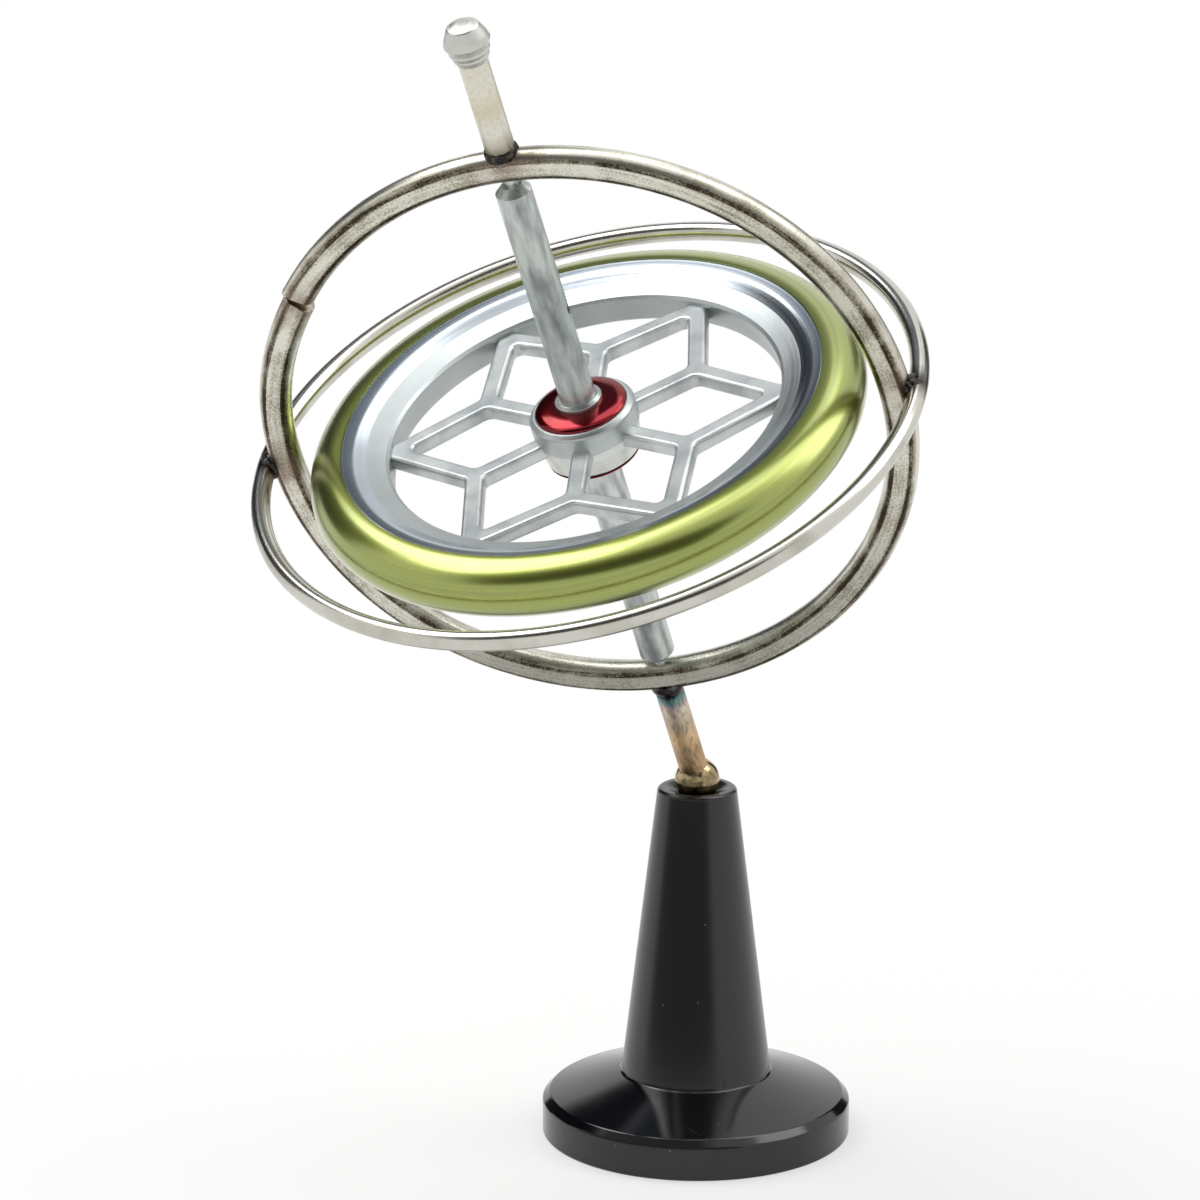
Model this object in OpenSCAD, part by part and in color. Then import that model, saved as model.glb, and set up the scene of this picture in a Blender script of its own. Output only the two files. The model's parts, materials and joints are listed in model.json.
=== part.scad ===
// Toy gyroscope balanced on a moulded stand, in millimetres.
// +Z is up and the origin is the centre of the stand's underside.
// The gyroscope leans towards -X by the angle `lean`, turning about the centre of its foot ball.
// Inside the gyroscope's own frame +Z runs from the foot ball to the top ball.

/* [Stand] */
// Diameter of the round base
base_d = 31.8; // [28:0.1:36]
// Height of the straight wall at the edge of the base
base_wall_h = 3.5; // [2.5:0.1:4.5]
// Bevel between that wall and the sloping top of the base
base_bevel = 0.75; // [0.4:0.05:1]
// Rise of the sloping top from the bevel to the column
base_rise = 2.4; // [1.6:0.1:3]
// Diameter of the column where it stands on the base
column_foot_d = 15.4; // [13.5:0.1:17.5]
// Radius of the fillet round the foot of the column
column_fillet = 0.45; // [0.25:0.05:0.7]
// Diameter of the column just under its rounded shoulder
column_top_d = 8.1; // [7.6:0.1:9]
// Radius of the rounded shoulder round the cup
shoulder_r = 0.7; // [0.5:0.05:0.9]
// Height of the stand to the rim of the cup
stand_h = 37; // [33:0.5:42]
// Height of the foot ball's centre above the rim of the cup
ball_lift = 0.8; // [0.5:0.05:1]

/* [Pose] */
// Lean of the gyroscope from upright, in degrees
lean = 25.7; // [15:0.1:32]
// Turn of the wire frame about the gyroscope's axis, in degrees
frame_turn = -66.8; // [-180:0.1:180]
// Turn of the rotor about the gyroscope's axis, in degrees
rotor_turn = 26.8; // [-180:0.1:180]

/* [Balls and posts] */
// Distance between the centres of the two end balls
ball_spacing = 90; // [86:0.5:95]
// Diameter of the end balls
ball_d = 4.6; // [4.2:0.1:5]
// Diameter of the posts that carry the balls
post_d = 2.9; // [2.4:0.1:3.1]

/* [Wire frame] */
// Diameter of the main ring, measured to the middle of its wire
main_ring_d = 62; // [61:0.2:65]
// Diameter of the main ring's wire
main_wire_d = 3.2; // [3:0.1:3.6]
// Thickness of that wire across its two pressed flats
main_wire_flat = 2.75; // [2.5:0.05:2.95]
// Diameter of the equator ring's wire
equator_wire_d = 1.95; // [1.7:0.05:2.2]
// Depth that the equator ring is sunk into the main ring by its welds
weld_sink = 0.38; // [0.25:0.01:0.5]
// Diameter of the weld beads at the two crossings
crossing_bead_d = 3.4; // [3.3:0.1:3.8]
// Place of the main ring's butt joint, in degrees up from the right crossing
seam_angle = 141.6; // [110:0.1:160]
// Opening of the butt joint on the inside of the ring
seam_gap = 0.7; // [0.4:0.05:1]
// Opening of the butt joint on the outside of the ring
seam_pinch = 0.2; // [0.1:0.05:0.35]

/* [Rotor] */
// Outside diameter of the coloured band
rotor_d = 56; // [54:0.1:56.8]
// Height of the rim
rim_h = 6.1; // [5.5:0.1:7]
// Diameter of the opening inside the rim
rim_inner_d = 39.5; // [38:0.1:41]
// Height of the rim's inner wall
rim_inner_h = 2.3; // [2.1:0.1:3]
// Diameter where the coloured band meets the bright face of the rim
band_edge_d = 48.4; // [47:0.1:49.5]
// Diameter where the bright part of that face meets its matt part
face_break_d = 43.8; // [42.6:0.1:45]
// Height of that meeting above the middle of the rotor
face_break_z = 2.15; // [1.9:0.05:2.3]
// Thickness of the coloured band
band_t = 0.7; // [0.5:0.05:0.9]
// Width of the spokes and of their forks
spoke_w = 1.9; // [1.5:0.1:2.3]
// Thickness of the spoke wheel
spoke_t = 1.6; // [1.2:0.1:1.9]
// Distance from the axis to the point where a spoke forks
fork_r = 12.3; // [11:0.1:13.5]

/* [Hub] */
// Largest diameter of the hub
hub_d = 10.6; // [10.5:0.1:11.4]
// Height of the hub above the middle of the rotor
hub_top = 2.6; // [2.2:0.1:3]
// Depth of the hub below the middle of the rotor
hub_bottom = 2.8; // [2.4:0.1:3.2]
// Chamfer round the top of the hub
hub_chamfer = 0.5; // [0.2:0.05:0.6]
// Outside diameter of the red caps
cap_d = 9.3; // [8.6:0.1:9.4]
// Height of the red caps
cap_h = 0.7; // [0.5:0.05:0.9]
// Diameter of the collar round the axle above the hub
collar_d = 4.7; // [4.5:0.1:5.4]
// Height of that collar
collar_h = 1.3; // [1.15:0.05:1.5]

/* [Axle] */
// Diameter of the axle
axle_d = 3.55; // [3.2:0.05:3.8]
// Diameter of the thicker part of the axle under the hub
axle_step_d = 4.1; // [3.9:0.05:4.4]
// Length of that thicker part
axle_step_l = 7; // [5:0.5:9]
// Diameter of the pivots at the ends of the axle
pivot_d = 1.2; // [1:0.05:1.4]
// Depth of the bearing holes for the pivots
bearing_depth = 0.95; // [0.7:0.05:1.2]
// Gap between the shoulder of a pivot and the main ring
pivot_reach = 0.55; // [0.4:0.05:0.8]
// Chamfer round the ends of the axle
axle_chamfer = 0.75; // [0.5:0.05:0.9]
// Diameter of the hole for the winding string
string_hole_d = 1.3; // [1:0.05:1.6]
// Height of that hole above the middle of the rotor
string_hole_z = 14; // [10:0.5:20]
// Direction of that hole from the frame's crossings, in degrees
string_hole_turn = 10; // [-30:1:50]

/* [Fits] */
// Running clearance between a moving surface and the one it turns in
clearance = 0.05; // [0.03:0.01:0.08]

/* [Hidden] */

$fn = 96;
// Facets round the two wire rings
ring_fn = 360;
// Steps of the small arcs and of the rim's rounded section
arc_steps = 8;
rim_steps = 16;
// Length by which a cutting shape runs past what it cuts
past = 1;

black_plastic = [0.06, 0.06, 0.07];
aged_nickel = [0.72, 0.70, 0.66];
polished_steel = [0.80, 0.79, 0.77];
dark_weld = [0.18, 0.18, 0.19];
ground_steel = [0.66, 0.68, 0.68];
bright_alloy = [0.82, 0.83, 0.85];
cast_alloy = [0.74, 0.76, 0.76];
green_lacquer = [0.55, 0.62, 0.20];
red_lacquer = [0.50, 0.03, 0.06];

base_r = base_d / 2;
base_edge = 0.25;
column_foot_r = column_foot_d / 2;
column_top_r = column_top_d / 2;
slope_foot_z = base_wall_h + base_bevel;
slope_top_z = slope_foot_z + base_rise;
ball_r = ball_d / 2;
post_r = post_d / 2;
pivot_h = stand_h + ball_lift;
seat_r = ball_r + clearance;
seat_edge_share = 0.8;
seat_edge_r = seat_edge_share * ball_r;
seat_edge_z = pivot_h - sqrt(seat_r * seat_r - seat_edge_r * seat_edge_r);

middle_h = ball_spacing / 2;
main_mean_r = main_ring_d / 2;
main_wire_r = main_wire_d / 2;
main_outer_r = main_mean_r + main_wire_r;
main_inner_r = main_mean_r - main_wire_r;
equator_wire_r = equator_wire_d / 2;
equator_mean_r = main_outer_r + equator_wire_r - weld_sink;
crossing_bead_r = crossing_bead_d / 2;
crossing_bead_out = 0.1;
crossing_bead_x = main_outer_r + crossing_bead_out;
seam_bead_r = 0.8;
bead_flare = 0.4;
post_bead_h = 0.75;
foot_joint_gap = 0.55;

rotor_r = rotor_d / 2;
rim_half_h = rim_h / 2;
rim_inner_r = rim_inner_d / 2;
band_edge_r = band_edge_d / 2;
face_break_r = face_break_d / 2;
band_lip = 0.1;
face_crown = 0.16;
wall_bevel = 0.3;
hub_r = hub_d / 2;
hub_taper = 0.6;
hub_foot_r = hub_r - hub_taper;
hub_step = 0.2;
cap_r = cap_d / 2;
collar_r = collar_d / 2;
collar_chamfer = 0.3;
axle_r = axle_d / 2;
axle_step_r = axle_step_d / 2;
axle_end = main_inner_r - pivot_reach;
pivot_r = pivot_d / 2;
bearing_r = pivot_r + clearance;
bearing_top = main_inner_r + bearing_depth;
pivot_end = bearing_top - 2 * clearance;
string_hole_r = string_hole_d / 2;
fork_turn = 30;
spoke_count = 6;

// Points along a circular arc about a centre
function arc(centre, r, from, to, steps) = [
    for (i = [0 : steps])
        let (a = from + (to - from) * i / steps)
        centre + r * [cos(a), sin(a)]
];

// Points along the rounded section of the rim, shrunk by an inset
function rim_curve(inset) = [
    for (i = [0 : rim_steps])
        let (a = -90 + 180 * i / rim_steps)
        [
            band_edge_r + (rotor_r - band_edge_r - inset) * cos(a),
            (rim_half_h - inset) * sin(a)
        ]
];

// From the gyroscope's own frame, foot ball at the origin, to its leaning pose on the stand
module on_stand() {
    translate([0, 0, pivot_h])
        rotate([0, -lean, 0])
            children();
}

// The frame's pose, its two crossings on the X axis and its middle at the origin
module in_frame() {
    on_stand()
        translate([0, 0, middle_h])
            rotate([0, 0, frame_turn])
                children();
}

// The rotor's pose, its middle at the origin
module in_rotor() {
    on_stand()
        translate([0, 0, middle_h])
            rotate([0, 0, rotor_turn])
                children();
}

// Full section of the main ring, before its joint and its bearings are cut
module main_ring_blank() {
    rotate([90, 0, 0])
        rotate_extrude($fn = ring_fn)
            translate([main_mean_r, 0])
                intersection() {
                    circle(r = main_wire_r);
                    square([main_wire_d + past, main_wire_flat], center = true);
                }
}

module equator_ring_blank() {
    rotate_extrude($fn = ring_fn)
        translate([equator_mean_r, 0])
            circle(r = equator_wire_r);
}

// Open wedge of the main ring's butt joint, wider on the inside of the ring
module seam_wedge() {
    rotate([90, -seam_angle, 0])
        linear_extrude(height = main_wire_d + 2 * past, center = true)
            polygon([
                [main_inner_r - past, -seam_gap / 2],
                [main_outer_r + past, -seam_pinch / 2],
                [main_outer_r + past, seam_pinch / 2],
                [main_inner_r - past, seam_gap / 2]
            ]);
}

// Stand with its base, column and ball cup
module pedestal() {
    color(black_plastic)
        difference() {
            rotate_extrude()
                polygon(concat(
                    [
                        [0, 0],
                        [base_r - base_edge, 0],
                        [base_r, base_edge],
                        [base_r, base_wall_h],
                        [base_r - base_bevel, slope_foot_z]
                    ],
                    arc(
                        [column_foot_r + column_fillet, slope_top_z + column_fillet],
                        column_fillet, 270, 180, arc_steps
                    ),
                    arc(
                        [column_top_r - shoulder_r, stand_h - shoulder_r],
                        shoulder_r, 0, 90, arc_steps
                    ),
                    [
                        [seat_edge_r, seat_edge_z],
                        [0, seat_edge_z]
                    ]
                ));
            translate([0, 0, pivot_h])
                sphere(r = seat_r);
        }
}

module foot_ball() {
    color(polished_steel)
        translate([0, 0, pivot_h])
            sphere(r = ball_r);
}

// Post between the foot ball and the weld under the main ring
module foot_post() {
    color(aged_nickel)
        on_stand()
            difference() {
                cylinder(r = post_r, h = middle_h - main_outer_r - foot_joint_gap);
                sphere(r = seat_r);
            }
}

// Weld under the main ring, standing one running clearance off the end of the foot post
module foot_post_weld() {
    bead_z = main_outer_r + foot_joint_gap - clearance;
    color(dark_weld)
        in_frame()
            difference() {
                rotate_extrude()
                    polygon([
                        [0, -bead_z],
                        [post_r + bead_flare / 2, -bead_z],
                        [post_r + bead_flare, -bead_z + foot_joint_gap],
                        [post_r + bead_flare / 2, -main_outer_r + post_bead_h],
                        [0, -main_outer_r + post_bead_h]
                    ]);
                main_ring_blank();
            }
}

// Thick wire ring that carries the rotor's bearings, with an open butt joint
module main_ring() {
    color(aged_nickel)
        in_frame()
            difference() {
                main_ring_blank();
                seam_wedge();
                for (side = [-1, 1])
                    translate([0, 0, side * (main_inner_r + bearing_depth / 2 - past / 2)])
                        cylinder(r = bearing_r, h = bearing_depth + past, center = true);
            }
}

// Tack weld that closes the butt joint on the outside of the ring
module ring_seam_weld() {
    color(polished_steel)
        in_frame()
            difference() {
                rotate([0, -seam_angle, 0])
                    translate([main_outer_r - seam_bead_r / 2, 0, 0])
                        sphere(r = seam_bead_r);
                difference() {
                    main_ring_blank();
                    seam_wedge();
                }
            }
}

// Thin wire ring round the rotor, sunk into the main ring at both crossings
module equator_ring() {
    color(polished_steel)
        in_frame()
            difference() {
                equator_ring_blank();
                main_ring_blank();
            }
}

// Weld bead round one crossing of the two rings
module crossing_weld(side) {
    difference() {
        translate([side * crossing_bead_x, 0, 0])
            sphere(r = crossing_bead_r);
        main_ring_blank();
        equator_ring_blank();
    }
}

module left_crossing_weld() {
    color(dark_weld)
        in_frame()
            crossing_weld(-1);
}

module right_crossing_weld() {
    color(dark_weld)
        in_frame()
            crossing_weld(1);
}

// Post between the main ring and the top ball
module top_post() {
    color(aged_nickel)
        in_frame()
            difference() {
                translate([0, 0, main_mean_r])
                    cylinder(r = post_r, h = middle_h - main_mean_r);
                main_ring_blank();
                translate([0, 0, middle_h])
                    sphere(r = ball_r);
            }
}

module top_post_weld() {
    color(dark_weld)
        in_frame()
            difference() {
                rotate_extrude()
                    polygon([
                        [post_r, main_outer_r - post_bead_h],
                        [post_r + bead_flare / 2, main_outer_r - post_bead_h],
                        [post_r + bead_flare, main_outer_r],
                        [post_r + bead_flare / 2, main_outer_r + post_bead_h],
                        [post_r, main_outer_r + post_bead_h]
                    ]);
                main_ring_blank();
            }
}

module top_ball() {
    color(polished_steel)
        in_frame()
            translate([0, 0, middle_h])
                sphere(r = ball_r);
}

// Axle with a pivot at each end, a thicker part under the hub and a hole for the string
module axle() {
    color(ground_steel)
        in_rotor()
            difference() {
                rotate_extrude()
                    polygon([
                        [0, -pivot_end],
                        [pivot_r, -pivot_end],
                        [pivot_r, -axle_end],
                        [axle_r - axle_chamfer, -axle_end],
                        [axle_r, axle_chamfer - axle_end],
                        [axle_r, -hub_bottom - axle_step_l],
                        [axle_step_r, -hub_bottom - axle_step_l],
                        [axle_step_r, -hub_bottom],
                        [axle_r, -hub_bottom],
                        [axle_r, axle_end - axle_chamfer],
                        [axle_r - axle_chamfer, axle_end],
                        [pivot_r, axle_end],
                        [pivot_r, pivot_end],
                        [0, pivot_end]
                    ]);
                translate([0, 0, string_hole_z])
                    rotate([0, 90, frame_turn - rotor_turn + string_hole_turn])
                        cylinder(r = string_hole_r, h = axle_d + 2 * past, center = true);
            }
}

// Bright turned rim inside the coloured band
module rotor_rim() {
    wall_z = rim_inner_h / 2;
    lip_z = rim_half_h - band_lip;
    face = [
        [band_edge_r, lip_z],
        [(band_edge_r + face_break_r) / 2, (lip_z + face_break_z) / 2 + face_crown],
        [face_break_r, face_break_z],
        [rim_inner_r + wall_bevel, wall_z + wall_bevel],
        [rim_inner_r, wall_z]
    ];
    last = len(face) - 1;
    color(bright_alloy)
        in_rotor()
            rotate_extrude()
                polygon(concat(
                    rim_curve(band_t),
                    face,
                    [for (i = [last : -1 : 0]) [face[i][0], -face[i][1]]]
                ));
}

// Coloured metal band rolled round the rim
module rim_band() {
    inner_curve = rim_curve(band_t);
    color(green_lacquer)
        in_rotor()
            rotate_extrude()
                polygon(concat(
                    rim_curve(0),
                    [for (i = [rim_steps : -1 : 0]) inner_curve[i]]
                ));
}

// Six spokes that fork and meet in pairs at the rim
module spoke_wheel() {
    fork_tip = rim_inner_r * [cos(fork_turn), sin(fork_turn)];
    fork_run = fork_tip - [fork_r, 0];
    fork_lean = atan2(fork_run[1], fork_run[0]);
    color(cast_alloy)
        in_rotor()
            linear_extrude(height = spoke_t, center = true)
                difference() {
                    intersection() {
                        for (k = [0 : spoke_count - 1])
                            rotate(k * 360 / spoke_count) {
                                translate([0, -spoke_w / 2])
                                    square([fork_r, spoke_w]);
                                translate([fork_r, 0])
                                    circle(r = spoke_w / 2);
                                for (side = [-1, 1])
                                    translate([fork_r, 0])
                                        rotate(side * fork_lean)
                                            translate([0, -spoke_w / 2])
                                                square([norm(fork_run) + past, spoke_w]);
                            }
                        circle(r = rim_inner_r);
                    }
                    circle(r = hub_r);
                }
}

// Silver hub between the two red caps
module hub() {
    color(bright_alloy)
        in_rotor()
            rotate_extrude()
                polygon([
                    [axle_r, -hub_bottom],
                    [hub_foot_r, -hub_bottom],
                    [hub_r - hub_step, -spoke_t / 2],
                    [hub_r - hub_step, 0],
                    [hub_r, 0],
                    [hub_r, hub_top - hub_chamfer],
                    [hub_r - hub_chamfer, hub_top],
                    [axle_r, hub_top]
                ]);
}

// Domed ring with a flat foot, highest at its inner radius and falling to the cap's edge
module cap_ring(inner_r) {
    rotate_extrude()
        polygon(concat(
            [[inner_r, 0]],
            [
                for (i = [0 : rim_steps])
                    let (a = 90 * i / rim_steps)
                    [inner_r + (cap_r - inner_r) * cos(a), cap_h * sin(a)]
            ]
        ));
}

module upper_hub_cap() {
    color(red_lacquer)
        in_rotor()
            translate([0, 0, hub_top])
                cap_ring(collar_r);
}

module lower_hub_cap() {
    color(red_lacquer)
        in_rotor()
            mirror([0, 0, 1])
                translate([0, 0, hub_bottom])
                    cap_ring(axle_step_r);
}

module axle_collar() {
    color(bright_alloy)
        in_rotor()
            translate([0, 0, hub_top])
                rotate_extrude()
                    polygon([
                        [axle_r, 0],
                        [collar_r, 0],
                        [collar_r, collar_h - collar_chamfer],
                        [collar_r - collar_chamfer, collar_h],
                        [axle_r, collar_h]
                    ]);
}

pedestal();
foot_ball();
foot_post();
foot_post_weld();
main_ring();
ring_seam_weld();
equator_ring();
left_crossing_weld();
right_crossing_weld();
top_post();
top_post_weld();
top_ball();
axle();
rotor_rim();
rim_band();
spoke_wheel();
hub();
upper_hub_cap();
lower_hub_cap();
axle_collar();
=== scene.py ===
"""Toy gyroscope leaning on its moulded stand, dressed for a product photograph.

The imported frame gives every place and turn. The classes hold the sizes of their own pieces in
millimetres, and each piece is drawn in the stand's, the wire frame's or the rotor's own axes.
"""

import json
import logging
import math
from dataclasses import dataclass, field, replace
from enum import Enum
from typing import Sequence, Union

import bmesh
import bpy
from mathutils import Matrix, Vector, noise


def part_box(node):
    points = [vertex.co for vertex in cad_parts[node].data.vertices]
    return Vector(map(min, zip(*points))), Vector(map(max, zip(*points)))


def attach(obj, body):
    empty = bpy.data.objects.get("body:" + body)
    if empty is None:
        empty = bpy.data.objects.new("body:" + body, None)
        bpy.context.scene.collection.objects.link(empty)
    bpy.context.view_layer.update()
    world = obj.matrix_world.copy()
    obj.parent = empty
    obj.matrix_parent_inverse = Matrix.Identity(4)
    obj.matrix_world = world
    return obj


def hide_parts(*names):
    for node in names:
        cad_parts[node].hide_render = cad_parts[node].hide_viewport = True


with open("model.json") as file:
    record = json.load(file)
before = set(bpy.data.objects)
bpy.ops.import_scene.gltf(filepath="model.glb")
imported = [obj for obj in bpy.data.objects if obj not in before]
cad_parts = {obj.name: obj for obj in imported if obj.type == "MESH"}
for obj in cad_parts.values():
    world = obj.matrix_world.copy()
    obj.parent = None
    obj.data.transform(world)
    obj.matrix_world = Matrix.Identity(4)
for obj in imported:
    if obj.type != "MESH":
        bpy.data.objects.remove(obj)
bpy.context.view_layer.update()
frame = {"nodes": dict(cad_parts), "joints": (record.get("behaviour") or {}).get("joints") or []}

LOG = logging.getLogger("gyroscope")
MM = 0.001
FULL_TURN = 2 * math.pi
MERGE_MM = 1e-4

Value = Union[float, int, Sequence[float], bpy.types.NodeSocket, bpy.types.Node]
Stops = Sequence[tuple[float, str]]


def linear(code: str) -> tuple[float, float, float, float]:
    """Turns an sRGB hex colour into the linear values that a shader takes.

    Args:
        code: the colour, such as "#C9C6BF".

    Returns:
        Red, green, blue and an alpha of 1.
    """
    parts = [int(code[i:i + 2], 16) / 255 for i in (1, 3, 5)]
    red, green, blue = [p / 12.92 if p <= 0.04045 else ((p + 0.055) / 1.055) ** 2.4 for p in parts]
    return red, green, blue, 1.0


def add_node(tree: bpy.types.NodeTree, kind: str, inputs: dict[Union[str, int], Value] | None = None,
             stops: Stops = (), **settings: object) -> bpy.types.Node:
    """Adds one shader node with its settings and links.

    Args:
        tree: the node tree that gets it.
        kind: the node's type without its "ShaderNode" prefix, such as "TexNoise".
        inputs: values and links by the socket's name or number. A node stands for its first output.
        stops: a colour ramp's places from 0 to 1 with their colours as hex codes, in order.
        settings: the node's own properties.

    Returns:
        The new node.
    """
    node = tree.nodes.new("ShaderNode" + kind)
    for name, value in settings.items():
        setattr(node, name, value)
    for key, value in (inputs or {}).items():
        if isinstance(value, bpy.types.Node):
            value = value.outputs[0]
        if isinstance(value, bpy.types.NodeSocket):
            tree.links.new(value, node.inputs[key])
        else:
            node.inputs[key].default_value = value
    for i, (place, code) in enumerate(stops):
        elements = node.color_ramp.elements
        element = elements[i] if i < len(elements) else elements.new(place)
        element.position = place
        element.color = linear(code)
    return node


def emptied_tree(owner: bpy.types.Material | bpy.types.World) -> bpy.types.NodeTree:
    """Turns on the nodes of a material or a world and clears them."""
    owner.use_nodes = True
    owner.node_tree.nodes.clear()
    return owner.node_tree


def mesh_object(name: str, bm: bmesh.types.BMesh,
                materials: Sequence[bpy.types.Material]) -> bpy.types.Object:
    """Puts a bmesh into the scene as an object.

    Args:
        name: the object's name.
        bm: its mesh, which is used up.
        materials: its materials, in the order of the faces' material numbers.

    Returns:
        The object.
    """
    mesh = bpy.data.meshes.new(name)
    bm.to_mesh(mesh)
    bm.free()
    for material in materials:
        mesh.materials.append(material)
    made = bpy.data.objects.new(name, mesh)
    bpy.context.scene.collection.objects.link(made)
    return made


@dataclass(frozen=True)
class Pose:
    """Where the gyroscope stands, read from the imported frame, in metres."""

    pivot: Vector
    middle: Vector
    axis: Vector
    crossing: Vector

    @classmethod
    def from_frame(cls) -> "Pose":
        """Reads the joints' places and the right crossing of the two rings."""
        joints = {joint["name"]: joint for joint in frame["joints"]}
        middle = Vector(joints["rotor_spin"]["pos_m"])
        low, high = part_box("right_crossing_weld")
        return cls(
            pivot=Vector(joints["lean"]["pos_m"]),
            middle=middle,
            axis=Vector(joints["rotor_spin"]["axis"]).normalized(),
            crossing=(low + high) / 2 - middle,
        )

    def place(self, origin: Vector, across: Vector, turn_deg: float = 0.0) -> Matrix:
        """Gives the matrix from a piece's own millimetres to the row frame.

        Args:
            origin: the point where the piece's own origin goes.
            across: a direction whose part square to the gyroscope's axis becomes the piece's X.
            turn_deg: a further turn about the gyroscope's axis.

        Returns:
            The matrix, which also scales millimetres to metres.
        """
        x_axis = (across - across.dot(self.axis) * self.axis).normalized()
        y_axis = self.axis.cross(x_axis)
        axes = Matrix((x_axis, y_axis, self.axis)).transposed().to_4x4()
        turn = Matrix.Rotation(math.radians(turn_deg), 4, "Z")
        return Matrix.Translation(origin) @ axes @ turn @ Matrix.Scale(MM, 4)


# a fillet takes at most this share of the edges beside it, and its guard point lies this share beyond it
FILLET_REACH = 0.46
FILLET_GUARD = 0.08


@dataclass(frozen=True)
class Corner:
    """One corner of an outline, with the radius that rounds it."""

    r: float
    z: float
    fillet: float = 0.0


def rounded(corners: Sequence[Corner], steps: int = 6, closed: bool = False) -> list[Vector]:
    """Follows the corners of an outline and rounds each by its fillet.

    Args:
        corners: the corners in order.
        steps: how many straight steps make one arc.
        closed: whether the last corner joins the first.

    Returns:
        The outline's points, as (r, z).
    """
    points: list[Vector] = []
    count = len(corners)
    for i, corner in enumerate(corners):
        here = Vector((corner.r, corner.z))
        is_end = not closed and i in (0, count - 1)
        if is_end or corner.fillet <= 0:
            points.append(here)
            continue
        before, after = corners[i - 1], corners[(i + 1) % count]
        back = Vector((before.r, before.z)) - here
        ahead = Vector((after.r, after.z)) - here
        half = back.angle(ahead) / 2
        longest = FILLET_REACH * min(back.length, ahead.length)
        reach = min(corner.fillet / math.tan(half), longest)
        radius = reach * math.tan(half)
        back.normalize()
        ahead.normalize()
        centre = here + (back + ahead).normalized() * (radius / math.sin(half))
        start, end = here + back * reach - centre, here + ahead * reach - centre
        sweep = start.angle_signed(end)
        guard = FILLET_GUARD * reach
        points.append(here + back * (reach + guard))
        for k in range(steps + 1):
            arm = start.copy()
            arm.rotate(Matrix.Rotation(-sweep * k / steps, 2))
            points.append(centre + arm)
        points.append(here + ahead * (reach + guard))
    return points


def arc(centre: tuple[float, float], radius: float, start_deg: float, end_deg: float, steps: int,
        height: float | None = None) -> list[Vector]:
    """Gives the points along an arc.

    Args:
        centre: its centre, as (r, z).
        radius: its radius.
        start_deg: the angle of its first point.
        end_deg: the angle of its last point.
        steps: how many steps it has.
        height: its half height, where it is an ellipse.

    Returns:
        The points, as (r, z).
    """
    angles = [math.radians(start_deg + (end_deg - start_deg) * i / steps) for i in range(steps + 1)]
    tall = radius if height is None else height
    return [Vector((centre[0] + radius * math.cos(a), centre[1] + tall * math.sin(a))) for a in angles]


def polar(radius: float, degrees: float) -> Vector:
    """Gives the point at a distance and an angle from the origin."""
    return Vector((radius * math.cos(math.radians(degrees)), radius * math.sin(math.radians(degrees))))


def flipped(point: Vector, degrees: float) -> Vector:
    """Mirrors a point over the line through the origin at an angle."""
    return polar(point.length, 2 * degrees - math.degrees(math.atan2(point.y, point.x)))


def turned(points: Sequence[Vector], closed: bool = False, steps: int = 240,
           angle: float = FULL_TURN) -> bmesh.types.BMesh:
    """Turns an outline about the Z axis, as a lathe does.

    Args:
        points: the outline as (r, z) in millimetres.
        closed: whether the last point joins the first.
        steps: how many steps make the turn.
        angle: the turn in radians, a full one by default.

    Returns:
        A new mesh whose faces point outwards.
    """
    bm = bmesh.new()
    verts = [bm.verts.new((p[0], 0.0, p[1])) for p in points]
    edges = [bm.edges.new(pair) for pair in zip(verts, verts[1:])]
    if closed:
        edges.append(bm.edges.new((verts[-1], verts[0])))
    bmesh.ops.spin(bm, geom=verts + edges, cent=(0, 0, 0), axis=(0, 0, 1), angle=angle, steps=steps,
                   use_merge=angle == FULL_TURN)
    bmesh.ops.remove_doubles(bm, verts=bm.verts, dist=MERGE_MM)
    bmesh.ops.recalc_face_normals(bm, faces=bm.faces)
    return bm


class Finish:
    """A surface finish. Subclasses hold its values and wire its patterns."""

    title: str

    def material(self) -> bpy.types.Material:
        """Makes a new material of this finish."""
        made = bpy.data.materials.new(self.title)
        tree = emptied_tree(made)
        add_node(tree, "OutputMaterial", {"Surface": add_node(tree, "BsdfPrincipled", self.wire(tree))})
        return made

    def wire(self, tree: bpy.types.NodeTree) -> dict[str, Value]:
        """Wires the finish's patterns and gives what the shader's sockets take."""
        raise NotImplementedError


def own_millimetres(tree: bpy.types.NodeTree, place: Matrix,
                    stretch: Sequence[float] = (1, 1, 1)) -> bpy.types.Node:
    """Turns Object coordinates into a piece's own millimetres, then stretches them.

    Args:
        tree: the material's node tree.
        place: the matrix from the piece's millimetres to the row frame.
        stretch: factors along the piece's own axes, small where a pattern runs long.

    Returns:
        The node that gives the coordinates.
    """
    location, turn, scale = place.inverted().decompose()
    own = add_node(tree, "Mapping", {
        "Vector": add_node(tree, "TexCoord").outputs["Object"], "Location": location,
        "Rotation": turn.to_euler(), "Scale": scale,
    })
    if tuple(stretch) == (1, 1, 1):
        return own
    return add_node(tree, "VectorMath", {0: own, 1: stretch}, operation="MULTIPLY")


def radial_millimetres(tree: bpy.types.NodeTree, place: Matrix) -> bpy.types.Node:
    """Gives coordinates that change only with the distance from a turned piece's axis and its height."""
    own = own_millimetres(tree, place)
    flat = add_node(tree, "VectorMath", {0: own, 1: (1, 1, 0)}, operation="MULTIPLY")
    radius = add_node(tree, "VectorMath", {0: flat}, operation="LENGTH").outputs["Value"]
    height = add_node(tree, "SeparateXYZ", {"Vector": own}).outputs["Z"]
    return add_node(tree, "CombineXYZ", {"X": radius, "Z": height})


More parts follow.
